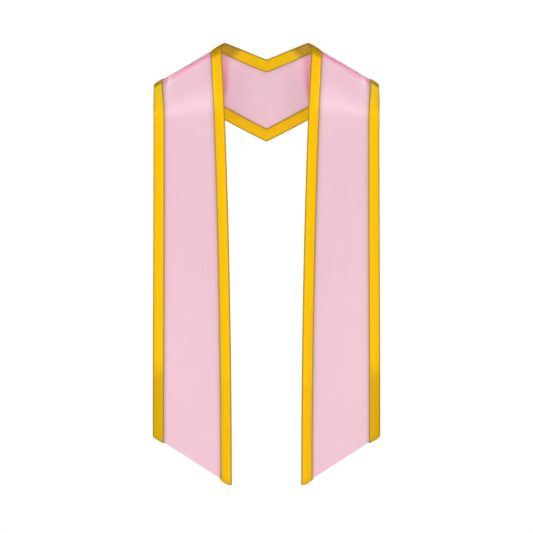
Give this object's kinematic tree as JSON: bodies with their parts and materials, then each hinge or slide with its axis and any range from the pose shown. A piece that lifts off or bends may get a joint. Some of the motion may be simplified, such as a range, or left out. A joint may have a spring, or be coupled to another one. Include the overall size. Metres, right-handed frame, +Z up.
{
  "type": "graduation stole",
  "caption": "Long satin stole worn over both shoulders, its slanted ends hanging in front and a V seamed behind the neck, bound along both edges.",
  "frame": {"origin": "midway between the two points where the neck ends of the shoulder bends sit on the wearer, under the cloth", "axes": "+Z up as worn, -Y the front of the wearer, +X to the right seen from in front"},
  "size_m": [0.3882, 0.1371, 0.7584],
  "materials": {
    "satin": "pale pink satin",
    "trim": "golden yellow satin binding"
  },
  "bodies": {
    "root": {"left_panel": "satin", "right_panel": "satin", "left_inner_trim": "trim", "left_outer_trim": "trim", "right_inner_trim": "trim", "right_outer_trim": "trim"}
  },
  "joints": []
}
